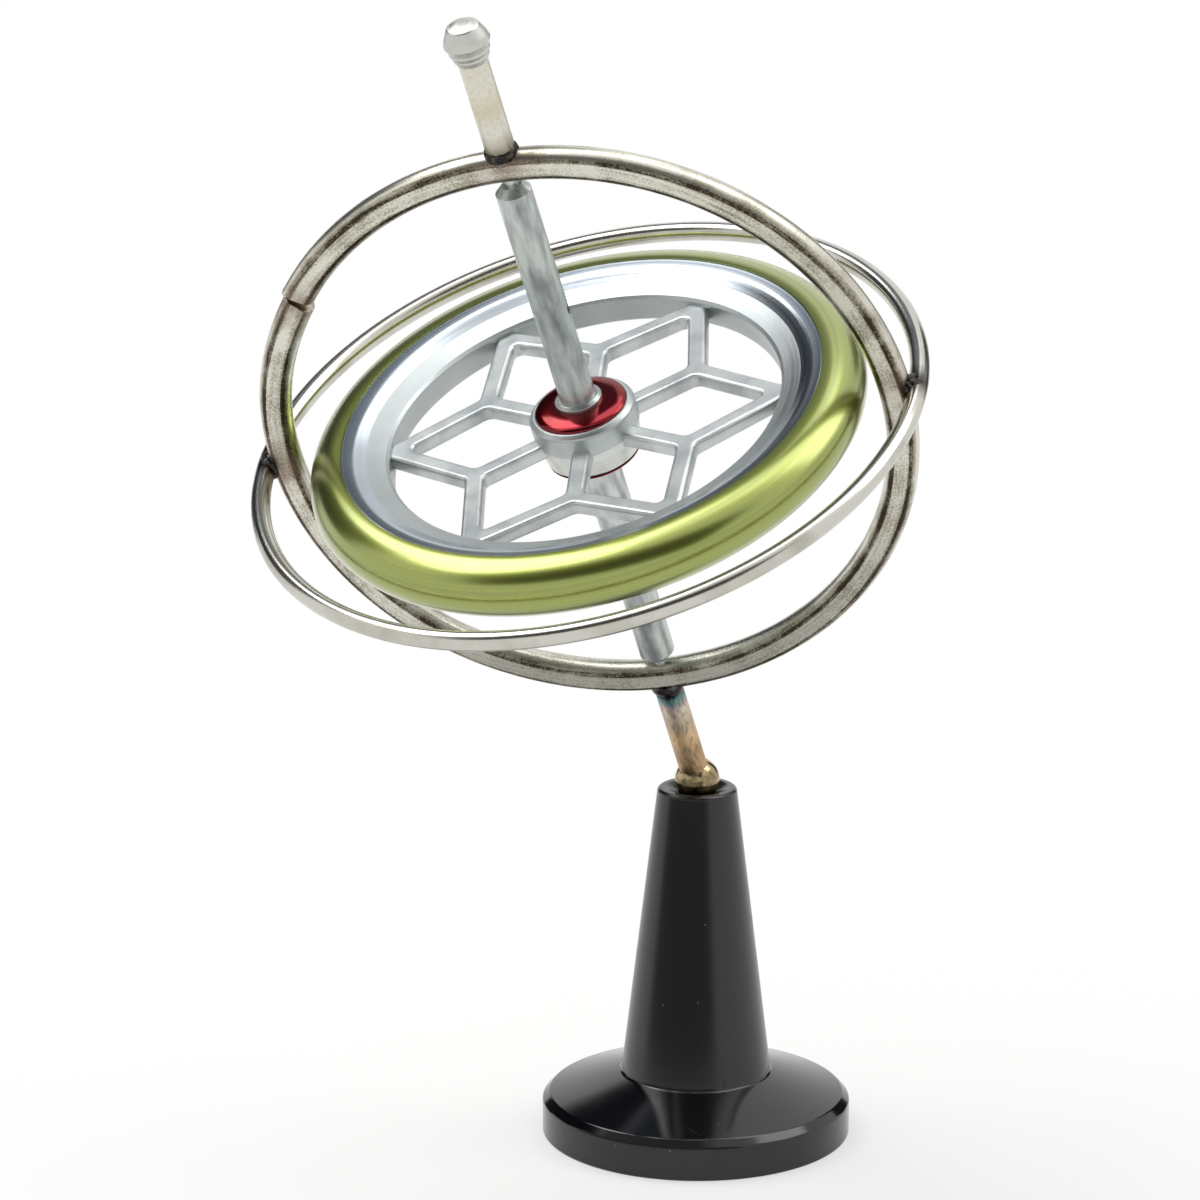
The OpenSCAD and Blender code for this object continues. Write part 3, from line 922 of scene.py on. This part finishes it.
        make_piece(part, self.post_collar(1, 2.0, 0.6, 0.42), self.place, [WeldMetal(self.place)])
        part = Part("foot_post_bead", "frame", "dark_weld", ("foot_post_weld",))
        make_piece(part, self.post_collar(-1, 6.5, 0.7, self.joint_gap - self.clearance), self.place,
                   [WeldMetal(self.place)])

    def ball_outline(self) -> list[Vector]:
        """Gives the outline of a turned ball: two cones that meet in a soft edge under a dome."""
        # each corner's r and z as shares of the ball's radius, and its fillet in millimetres
        corners = ((0, -0.95, 0), (0.66, -0.95, 0.1), (0.78, -0.7, 0.1), (0.76, -0.62, 0.05),
                   (0.88, -0.42, 0.1), (0.86, -0.32, 0.05), (0.95, -0.1, 0.05), (0.99, -0.02, 0.05),
                   (0.91, 0.24, 0.4), (0.68, 0.72, 0.4), (0.3, 0.85, 0.6), (0, 0.88, 0))
        size = self.ball_r
        return rounded([Corner(r * size, z * size, fillet) for r, z, fillet in corners], steps=8)

    def build_balls(self) -> None:
        """Makes the turned top ball and the polished foot ball."""
        shift = Matrix.Translation((0, 0, self.middle_h))
        bm = turned(self.ball_outline(), steps=128)
        bm.transform(shift)
        part = Part("top_ball_turned", "frame", "polished_steel", ("top_ball",))
        steel = TurnedMetal(self.place, title="turned_steel", colour="#CBCBC6", roughness=0.4,
                            dull="#A8A292", groove_mm=0.5, relief_mm=0.01, patch_mm=1.6)
        make_piece(part, bm, self.place, [steel])
        ball = arc((0, 0), self.ball_r, -90, 90, 40)
        part = Part("foot_ball_polished", "pivot_ball", "polished_steel", ("foot_ball",))
        # the dark dull patches over nearly all of the foot ball are painted shade, standing in for its dark
        # reflection of the black cup
        tinted = TurnedMetal(self.foot_place, title="heat_tinted_steel_painted_shade", colour="#B5A27C",
                             roughness=0.14, dull="#3F3222", groove_mm=0.6, relief_mm=0.04, patch_share=0.95,
                             patch_mm=1.1)
        make_piece(part, turned(ball, steps=128), self.foot_place, [tinted])

    def build(self) -> None:
        """Makes every piece of the wire frame and its foot."""
        self.build_main_ring()
        self.build_equator_ring()
        self.build_crossing_welds()
        self.build_seam_weld()
        self.build_posts()
        self.build_balls()


@dataclass
class Rotor:
    """The spinning rotor: rim, coloured band, spoke wheel, hub with its caps, collar and axle."""

    pose: Pose
    turn_deg: float = 26.8
    outer_r: float = 28.0
    rim_half: float = 3.05
    inner_r: float = 19.75
    inner_half: float = 1.15
    band_edge_r: float = 24.2
    band_t: float = 0.7
    break_r: float = 21.9
    break_z: float = 2.15
    spoke_w: float = 1.9
    spoke_t: float = 1.6
    spoke_edge: float = 0.42
    wheel_sunk: float = 0.3
    fork_r: float = 12.3
    spokes: int = 6
    hub_r: float = 5.3
    hub_step: float = 0.22
    hub_taper: float = 0.65
    hub_top: float = 2.6
    hub_bottom: float = 2.8
    cap_r: float = 4.65
    cap_h: float = 0.7
    collar_r: float = 2.35
    collar_h: float = 1.3
    axle_r: float = 1.775
    step_r: float = 2.05

    def __post_init__(self) -> None:
        """Works out the rotor's place."""
        self.place = self.pose.place(self.pose.middle, Vector((1, 0, 0)), self.turn_deg)

    def build_rim(self) -> None:
        """Makes the bright rim and the lacquered band round it."""
        inset = self.band_t
        bulge = self.outer_r - self.band_edge_r
        curve = arc((self.band_edge_r, 0), bulge - inset, -90, 90, 40, self.rim_half - inset)
        lip = self.rim_half - 0.1
        face = rounded([
            Corner(self.band_edge_r, self.rim_half - inset),
            Corner(self.band_edge_r, lip, 0.1),
            Corner(0.5 * (self.band_edge_r + self.break_r), 0.5 * (lip + self.break_z) + 0.22, 2.0),
            Corner(self.break_r, self.break_z, 0.12),
            Corner(self.inner_r + 0.3, self.inner_half + 0.3, 0.12),
            Corner(self.inner_r, self.inner_half, 0.12),
            Corner(self.inner_r, 0),
        ])[1:]
        lower = [Vector((p[0], -p[1])) for p in reversed(face[:-1])]
        bm = turned(curve + face + lower, closed=True, steps=360)
        for patch in bm.faces:
            middle = patch.calc_center_median()
            if math.hypot(middle.x, middle.y) < self.break_r - 0.05:
                patch.material_index = 1
        part = Part("rotor_rim_turned", "rotor", "bright_alloy", ("rotor_rim",))
        bright = TurnedMetal(self.place, title="bright_turned_alloy", colour="#B4BBC1", roughness=0.2,
                             dull="#949EA7", patch_mm=9.0, groove_mm=0.5, relief_mm=0.025)
        matt = TurnedMetal(self.place, title="matt_turned_alloy", colour="#B3B8B8", roughness=0.36,
                           dull="#8F9696", patch_mm=6.0, groove_mm=0.4, relief_mm=0.012)
        make_piece(part, bm, self.place, [bright, matt])
        outside = arc((self.band_edge_r, 0), bulge, -90, 90, 48, self.rim_half)
        lip_in = [Vector((self.band_edge_r + 0.02, s * (self.rim_half - inset * 0.8))) for s in (1, -1)]
        inner = [Vector((p[0] + 0.02, p[1])) for p in reversed(curve)]
        points = outside + [lip_in[0]] + inner[1:-1] + [lip_in[1]]
        part = Part("rim_band_lacquered", "rotor", "green_lacquer", ("rim_band",))
        green = CandyLacquer(self.place, title="green_candy_lacquer", colour="#98A236", deep="#788525",
                             roughness=0.27, coat_ior=1.85, coat_roughness=0.2)
        make_piece(part, turned(points, closed=True, steps=360), self.place, [green])

    def wheel_loops(self) -> list[list[Vector]]:
        """Gives the spoke wheel's outlines: its hub hole, its outer edge and its six windows."""
        half = self.spoke_w / 2
        pitch = 360 / self.spokes
        outer = self.inner_r + self.wheel_sunk
        fork = Vector((self.fork_r, 0))
        run = (polar(self.inner_r, pitch / 2) - fork).normalized()
        side = Vector((-run.y, run.x)) * half
        elbow = Vector((fork.x - half * math.tan(math.atan2(run.y, run.x) / 2), half))
        left, right = fork + side, fork - side
        slope = math.tan(math.radians(pitch / 2))
        meet = left + run * ((slope * left.x - left.y) / (run.y - slope * run.x))
        reach = right.dot(run)
        foot = right + run * (math.sqrt(reach ** 2 + outer ** 2 - right.length_squared) - reach)
        foot_deg = math.degrees(math.atan2(foot.y, foot.x))
        crotch_x = fork.x + half / run.y
        web_r = self.hub_r - 0.3
        web_deg = math.degrees(math.asin(half / web_r))
        window = [Corner(*polar(web_r, web_deg), 0.4), Corner(*elbow, 0.9), Corner(*meet, 0.6)]
        mirrored = [Corner(*flipped(Vector((c.r, c.z)), pitch / 2), c.fillet) for c in reversed(window[:2])]
        web = [Corner(*polar(web_r, pitch - web_deg - (pitch - 2 * web_deg) * i / 5)) for i in range(1, 5)]
        opening = rounded(window + mirrored + web, steps=7, closed=True)
        turns = [Matrix.Rotation(math.radians(pitch * k), 2) for k in range(self.spokes)]
        rim = [polar(outer, foot_deg + (pitch - 2 * foot_deg) * i / 4) for i in range(1, 4)]
        notch = [Corner(foot.x, -foot.y), Corner(crotch_x, 0, 0.8), Corner(foot.x, foot.y)]
        edge = [turn @ p for turn in turns for p in rounded(notch, steps=7) + rim]
        windows = [[turn @ p for p in opening] for turn in turns]
        hole = [polar(self.hub_r - 0.9, 10 * i) for i in range(36)]
        return [hole, edge] + windows

    def build_spoke_wheel(self) -> None:
        """Makes the cast wheel of six forked spokes with soft edges."""
        bm = bmesh.new()
        for loop in self.wheel_loops():
            verts = [bm.verts.new((p.x, p.y, 0)) for p in loop]
            for pair in zip(verts, verts[1:] + verts[:1]):
                bm.edges.new(pair)
        bmesh.ops.triangle_fill(bm, edges=bm.edges, use_beauty=True, use_dissolve=False, normal=(0, 0, 1))
        for face in bm.faces:
            if face.normal.z < 0:
                face.normal_flip()
        flat = list(bm.faces)
        # each inset follows one step of a quarter circle, from the side of a spoke over to its face
        soft = self.spoke_edge
        steps = [math.radians(90 * i / 5) for i in range(6)]
        moves = [(0.0, self.spoke_t / 2 - soft)]
        moves += [(soft * (math.cos(a) - math.cos(b)), soft * (math.sin(b) - math.sin(a)))
                  for a, b in zip(steps, steps[1:])]
        moves.append((0.05, 0.0))
        for thickness, depth in moves:
            bmesh.ops.inset_region(bm, faces=flat, thickness=thickness, depth=depth, use_boundary=True,
                                   use_even_offset=True)
        top = list(bm.verts) + list(bm.edges) + list(bm.faces)
        bmesh.ops.mirror(bm, geom=top, axis="Z", merge_dist=-1)
        bmesh.ops.remove_doubles(bm, verts=bm.verts, dist=MERGE_MM)
        bmesh.ops.recalc_face_normals(bm, faces=bm.faces)
        part = Part("spoke_wheel_cast", "rotor", "cast_alloy", ("spoke_wheel",))
        make_piece(part, bm, self.place, [CastAlloy(self.place)], sharp_deg=50)

    def build_hub(self) -> None:
        """Makes the hub, its two lacquered caps and the collar."""
        r, top, low = self.hub_r, self.hub_top, -self.hub_bottom
        hub = rounded([
            Corner(self.axle_r, low),
            Corner(r - self.hub_taper, low, 0.4),
            Corner(r - self.hub_step, -self.spoke_t / 2, 0.9),
            Corner(r - self.hub_step, -0.02, 0.12),
            Corner(r, 0.1, 0.12),
            Corner(r, top - 0.4, 0.4),
            Corner(r - 0.45, top, 0.2),
            Corner(self.axle_r, top),
        ])
        part = Part("hub_turned", "rotor", "bright_alloy", ("hub",))
        bm = turned(hub, closed=True, steps=160)
        for face in bm.faces:
            face.material_index = 1 if face.calc_center_median().z > 0 else 0
        bright = TurnedMetal(self.place, title="bright_turned_alloy", colour="#D2D4CF", roughness=0.3,
                             groove_mm=0.5)
        matt = replace(bright, title="matt_turned_alloy", colour="#B7BDBB", roughness=0.38)
        make_piece(part, bm, self.place, [bright, matt])
        red = CandyLacquer(self.place, title="red_candy_lacquer", colour="#850217", deep="#5E010E",
                           roughness=0.18, coat_ior=1.35, edge="#C04048")
        caps = (("upper", self.collar_r, 1, top), ("lower", self.step_r, -1, low))
        for name, inner, side, base in caps:
            dome = arc((inner, base), self.cap_r - inner, 0, 90, 24, side * self.cap_h)
            dome.append(Vector((inner, base)))
            part = Part(f"{name}_cap_lacquered", "rotor", "red_lacquer", (f"{name}_hub_cap",))
            make_piece(part, turned(dome, closed=True, steps=160), self.place, [red], sharp_deg=50)
        collar = rounded([
            Corner(self.axle_r, top),
            Corner(self.collar_r, top),
            Corner(self.collar_r, top + self.collar_h - 0.3, 0.12),
            Corner(self.collar_r - 0.3, top + self.collar_h, 0.12),
            Corner(self.axle_r, top + self.collar_h),
        ])
        part = Part("axle_collar_turned", "rotor", "bright_alloy", ("axle_collar",))
        steel = TurnedMetal(self.place, title="turned_steel", colour="#A9ADAA", roughness=0.32)
        make_piece(part, turned(collar, closed=True, steps=128), self.place, [steel])

    def dress_axle(self) -> None:
        """Gives the CAD axle, whose shape is right, its ground steel finish."""
        steel = TurnedMetal(self.place, title="ground_steel", colour="#CDD2CF", roughness=0.36,
                            dull="#6C7574", groove_mm=0.7, patch_mm=1.3, patch_share=0.85,
                            patch_stretch=(1, 1, 0.3))
        axle = frame["nodes"]["axle"]
        axle.data.materials.clear()
        axle.data.materials.append(steel.material())
        LOG.info("axle keeps its CAD shape")

    def build(self) -> None:
        """Makes every piece of the rotor."""
        self.build_rim()
        self.build_spoke_wheel()
        self.build_hub()
        self.dress_axle()


class Side(Enum):
    """Where a lamp or a flag stands, seen from the camera: degrees to the right of straight ahead."""

    BEHIND_LEFT = -38
    BEHIND_RIGHT = 38
    HIGH_LEFT = -46
    HIGH = -24
    LEFT = -76
    RIGHT = 88
    FRONT = -163
    FRONT_LEFT = -153
    ABOVE = 0


@dataclass(frozen=True)
class Panel:
    """A flat lamp or a dark flag that faces the object, with its lengths in metres.

    Attributes:
        name: the name of its object.
        side: where it stands round the object.
        lift_deg: how high it stands, as an angle.
        distance: how far it stands from the point that it faces.
        width: its width.
        height: its height.
        level: how bright it is.
        aim: the height of the point that it faces.
        tint: its colour.
        soft: the share of a flag, from its sides inwards, over which it fades in.
    """

    name: str
    side: Side
    lift_deg: float
    distance: float
    width: float
    height: float
    level: float
    aim: float = 0.06
    tint: str = "#FFFFFF"
    soft: float = 0.0


@dataclass
class Studio:
    """The pale floor, soft lamps, dark flags and the camera, all in metres.

    The camera's place, aim and lens were fitted to the photograph. Up to shadow_r from the stand's
    middle the floor is plain white by near_white and else shows its light and shadow, and from white_r
    on it is plain white. Where the sky only lights, it is as dim as diffuse_sky.
    """

    camera_at: tuple[float, float, float] = (-0.45572, -0.30634, 0.20071)
    camera_aim: tuple[float, float, float] = (0.79287, 0.55408, -0.25370)
    lens_mm: float = 167.95
    sensor_mm: float = 36.0
    floor_r: float = 6.0
    floor_colour: str = "#F4F4F2"
    shadow_r: float = 0.03
    white_r: float = 0.11
    near_white: float = 0.55
    diffuse_sky: float = 0.42
    lamps: tuple[Panel, ...] = (
        Panel("left_softbox", Side.LEFT, 60, 0.75, 0.55, 0.42, 4.0),
        Panel("right_softbox", Side.RIGHT, 54, 0.8, 0.35, 0.5, 2.6),
        Panel("top_softbox", Side.ABOVE, 80, 0.9, 0.6, 0.6, 1.6),
    )
    flags: tuple[Panel, ...] = (
        Panel("left_flag", Side.BEHIND_LEFT, 6, 1.1, 0.34, 1.3, 0.04),
        Panel("right_flag", Side.BEHIND_RIGHT, 6, 1.1, 0.34, 1.3, 0.04),
        Panel("front_flag", Side.FRONT, 42, 0.9, 1.7, 0.66, 0.06, soft=0.3),
        Panel("blue_flag", Side.HIGH_LEFT, 32, 1.0, 1.0, 0.76, 0.05, tint="#B9CCE6", soft=0.15),
        Panel("high_flag", Side.HIGH, 61, 0.7, 0.38, 0.44, 0.2, tint="#B9CCE6", soft=0.4),
        Panel("low_card", Side.FRONT_LEFT, 0, 0.024, 0.085, 0.045, 0.3, aim=0.0225, soft=0.4),
    )

    def direction(self, panel: Panel) -> Vector:
        """Gives the direction from the object to a panel."""
        ahead = Vector((self.camera_aim[0], self.camera_aim[1], 0)).normalized()
        turn = Matrix.Rotation(-math.radians(panel.side.value), 3, "Z")
        lift = math.radians(panel.lift_deg)
        return (turn @ ahead) * math.cos(lift) + Vector((0, 0, math.sin(lift)))

    def place_panel(self, target: bpy.types.Object, panel: Panel) -> None:
        """Puts a lamp or a flag in its place, facing the object."""
        towards = self.direction(panel)
        target.location = towards * panel.distance + Vector((0, 0, panel.aim))
        target.rotation_mode = "QUATERNION"
        target.rotation_quaternion = towards.to_track_quat("Z", "Y")

    def shown(self, tree: bpy.types.NodeTree) -> bpy.types.Node:
        """Gives 1 for a ray from the camera, a mirror or glass, and 0 for one that only lights."""
        rays = add_node(tree, "LightPath").outputs
        seen = add_node(tree, "Math", {0: rays["Is Camera Ray"], 1: rays["Is Glossy Ray"]},
                        operation="MAXIMUM")
        return add_node(tree, "Math", {0: seen, 1: rays["Is Transmission Ray"]}, operation="MAXIMUM")

    def build_floor(self) -> None:
        """Makes the pale floor, which keeps the shadow near the object and turns white further off."""
        bm = bmesh.new()
        bmesh.ops.create_circle(bm, cap_ends=True, radius=self.floor_r, segments=96)
        paper = bpy.data.materials.new("pale_paper")
        tree = emptied_tree(paper)
        matt = add_node(tree, "BsdfPrincipled", {"Base Color": linear(self.floor_colour), "Roughness": 0.9,
                                                 "Specular IOR Level": 0.1})
        spot = add_node(tree, "TexCoord").outputs["Object"]
        away = add_node(tree, "VectorMath", {0: spot}, operation="LENGTH").outputs["Value"]
        fade = add_node(tree, "MapRange", {"Value": away, 1: self.shadow_r, 2: self.white_r,
                                           3: self.near_white, 4: 1.0}, interpolation_type="SMOOTHSTEP")
        share = add_node(tree, "Math", {0: fade, 1: self.shown(tree)}, operation="MULTIPLY")
        white = add_node(tree, "Emission", {"Color": (1, 1, 1, 1), "Strength": 1.0})
        mix = add_node(tree, "MixShader", {0: share, 1: matt, 2: white})
        add_node(tree, "OutputMaterial", {"Surface": mix})
        floor = mesh_object("studio_floor", bm, [paper])

    def build_world(self) -> None:
        """Makes the sky white where it is seen or mirrored, and dimmer as a light."""
        world = bpy.data.worlds.new("studio_sky")
        bpy.context.scene.world = world
        tree = emptied_tree(world)
        level = add_node(tree, "MapRange", {"Value": self.shown(tree), 3: self.diffuse_sky, 4: 1.0})
        sky = add_node(tree, "Background", {"Color": (1, 1, 1, 1), "Strength": level})
        add_node(tree, "OutputWorld", {"Surface": sky})

    def build_lamps(self) -> None:
        """Makes the soft lamps, each as bright as its level says."""
        for lamp in self.lamps:
            data = bpy.data.lights.new(lamp.name, "AREA")
            data.shape = "RECTANGLE"
            data.size = lamp.width
            data.size_y = lamp.height
            data.energy = lamp.level * math.pi * lamp.width * lamp.height
            light = bpy.data.objects.new(lamp.name, data)
            self.place_panel(light, lamp)
            bpy.context.scene.collection.objects.link(light)

    def cover(self, tree: bpy.types.NodeTree, flag: Panel) -> bpy.types.Node:
        """Gives 1 over a flag's middle, falling to 0 at its sides across its soft share.

        Args:
            tree: the flag's node tree.
            flag: the flag.

        Returns:
            The node that says how solid the flag is.
        """
        split = add_node(tree, "SeparateXYZ", {"Vector": add_node(tree, "TexCoord").outputs["Object"]})
        shares = []
        for axis, size in (("X", flag.width), ("Y", flag.height)):
            away = add_node(tree, "Math", {0: split.outputs[axis]}, operation="ABSOLUTE")
            shares.append(add_node(tree, "MapRange", {
                "Value": away, 1: 0.5 * size * (1 - flag.soft), 2: 0.5 * size, 3: 1.0, 4: 0.0,
            }, interpolation_type="SMOOTHSTEP"))
        return add_node(tree, "Math", {0: shares[0], 1: shares[1]}, operation="MULTIPLY")

    def build_flags(self) -> None:
        """Makes the dark flags, which only the gloss of the object shows."""
        for flag in self.flags:
            bm = bmesh.new()
            bmesh.ops.create_grid(bm, x_segments=1, y_segments=1, size=0.5)
            bmesh.ops.scale(bm, vec=(flag.width, flag.height, 1), verts=bm.verts)
            cloth = bpy.data.materials.new(flag.name + "_cloth")
            tree = emptied_tree(cloth)
            shade = add_node(tree, "Emission", {"Color": linear(flag.tint), "Strength": flag.level})
            if flag.soft > 0:
                clear = add_node(tree, "BsdfTransparent")
                shade = add_node(tree, "MixShader", {0: self.cover(tree, flag), 1: clear, 2: shade})
            add_node(tree, "OutputMaterial", {"Surface": shade})
            panel = mesh_object(flag.name, bm, [cloth])
            self.place_panel(panel, flag)
            for kind in ("camera", "diffuse", "shadow", "transmission"):
                setattr(panel, f"visible_{kind}", False)

    def build_camera(self) -> None:
        """Makes the camera at the photograph's viewing angle."""
        data = bpy.data.cameras.new("camera")
        data.lens = self.lens_mm
        data.sensor_width = self.sensor_mm
        data.clip_start = 0.01
        data.clip_end = 50.0
        camera = bpy.data.objects.new("camera", data)
        camera.location = self.camera_at
        camera.rotation_mode = "QUATERNION"
        camera.rotation_quaternion = Vector(self.camera_aim).to_track_quat("-Z", "Y")
        bpy.context.scene.collection.objects.link(camera)
        bpy.context.scene.camera = camera
        bpy.context.scene.view_settings.view_transform = "Standard"

    def build(self) -> None:
        """Makes the whole studio."""
        self.build_camera()
        self.build_world()
        self.build_floor()
        self.build_lamps()
        self.build_flags()


def main() -> None:
    """Builds the studio and every piece of the object in order."""
    logging.basicConfig(level=logging.INFO, format="%(name)s: %(message)s")
    pose = Pose.from_frame()
    Studio().build()
    Stand().build()
    WireFrame(pose).build()
    Rotor(pose).build()


if __name__ == "__main__":
    main()
